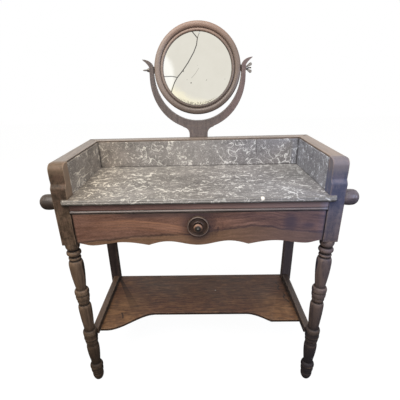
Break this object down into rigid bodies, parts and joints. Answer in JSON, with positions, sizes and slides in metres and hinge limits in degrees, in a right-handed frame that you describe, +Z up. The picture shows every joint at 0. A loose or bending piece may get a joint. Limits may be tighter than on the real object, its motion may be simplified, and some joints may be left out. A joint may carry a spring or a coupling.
{
  "type": "washstand",
  "caption": "Wooden washstand with a marble top and splashes, a drawer, a low shelf, side towel bars and a round mirror that tilts in a yoke.",
  "frame": {"origin": "on the floor, under the middle of the whole object's box", "axes": "+X to the right of a person facing the drawer, +Y to the back, +Z up"},
  "size_m": [1, 0.5016, 1.3295],
  "materials": {
    "walnut": "worn wax, matt",
    "dark_walnut": "worn wax, matt",
    "worn_walnut": "bleached and dry",
    "plain_wood": "unfinished",
    "marble": "polished, worn",
    "mirror_glass": "aged silvering",
    "grey_metal": "dull, aged",
    "washer_leather": "worn"
  },
  "bodies": {
    "stand": {"front_leg_left": "dark_walnut", "front_leg_right": "dark_walnut", "rear_leg_left": "dark_walnut", "rear_leg_right": "dark_walnut", "side_board_left": "dark_walnut", "side_board_right": "dark_walnut", "back_board": "plain_wood", "gallery_back_rail": "dark_walnut", "gallery_cap_left": "worn_walnut", "gallery_cap_right": "worn_walnut", "gallery_cap_back": "worn_walnut", "front_rail": "walnut", "bead_moulding": "dark_walnut", "marble_top": "marble", "marble_splash_left": "marble", "marble_splash_right": "marble", "marble_splash_back": "marble", "top_bearer_left": "plain_wood", "top_bearer_right": "plain_wood", "back_bearer": "plain_wood", "drawer_runner_left": "plain_wood", "drawer_runner_right": "plain_wood", "drawer_guide_left": "plain_wood", "drawer_guide_right": "plain_wood", "drawer_stops": "plain_wood", "stretcher_left": "walnut", "stretcher_right": "walnut", "shelf": "walnut", "shelf_nails": "grey_metal", "towel_knob_front_left": "dark_walnut", "towel_knob_front_right": "dark_walnut", "towel_knob_rear_left": "dark_walnut", "towel_knob_rear_right": "dark_walnut", "towel_bar_left": "walnut", "towel_bar_right": "walnut", "mirror_yoke": "walnut", "stem_packing": "plain_wood", "yoke_screws": "grey_metal"},
    "drawer": {"drawer_front": "walnut", "drawer_side_left": "plain_wood", "drawer_side_right": "plain_wood", "drawer_back": "plain_wood", "drawer_bottom": "plain_wood", "knob_rosette": "dark_walnut", "drawer_knob": "walnut", "knob_bolt": "grey_metal", "knob_nut": "grey_metal"},
    "mirror": {"mirror_frame": "walnut", "mirror_glass": "mirror_glass", "mirror_backboard": "plain_wood", "backboard_pins": "grey_metal", "pivot_rod_left": "grey_metal", "pivot_rod_right": "grey_metal", "pivot_washer_left": "washer_leather", "pivot_washer_right": "washer_leather"},
    "wing_nut_left": {"wing_nut_left": "grey_metal"},
    "wing_nut_right": {"wing_nut_right": "grey_metal"}
  },
  "joints": [
    {"name": "drawer_slide", "type": "slide", "parent": "stand", "child": "drawer", "axis": [0, -1, 0], "range_m": [0, 0.26]},
    {"name": "mirror_tilt", "type": "hinge", "parent": "stand", "child": "mirror", "pos_m": [0.004, 0.21316, 1.165], "axis": [1, 0, 0], "continuous": true},
    {"name": "wing_nut_left_turn", "type": "hinge", "parent": "mirror", "child": "wing_nut_left", "pos_m": [-0.191, 0.21316, 1.165], "axis": [-1, 0, 0], "range_deg": [0, 540]},
    {"name": "wing_nut_right_turn", "type": "hinge", "parent": "mirror", "child": "wing_nut_right", "pos_m": [0.199, 0.21316, 1.165], "axis": [1, 0, 0], "range_deg": [0, 540]}
  ]
}
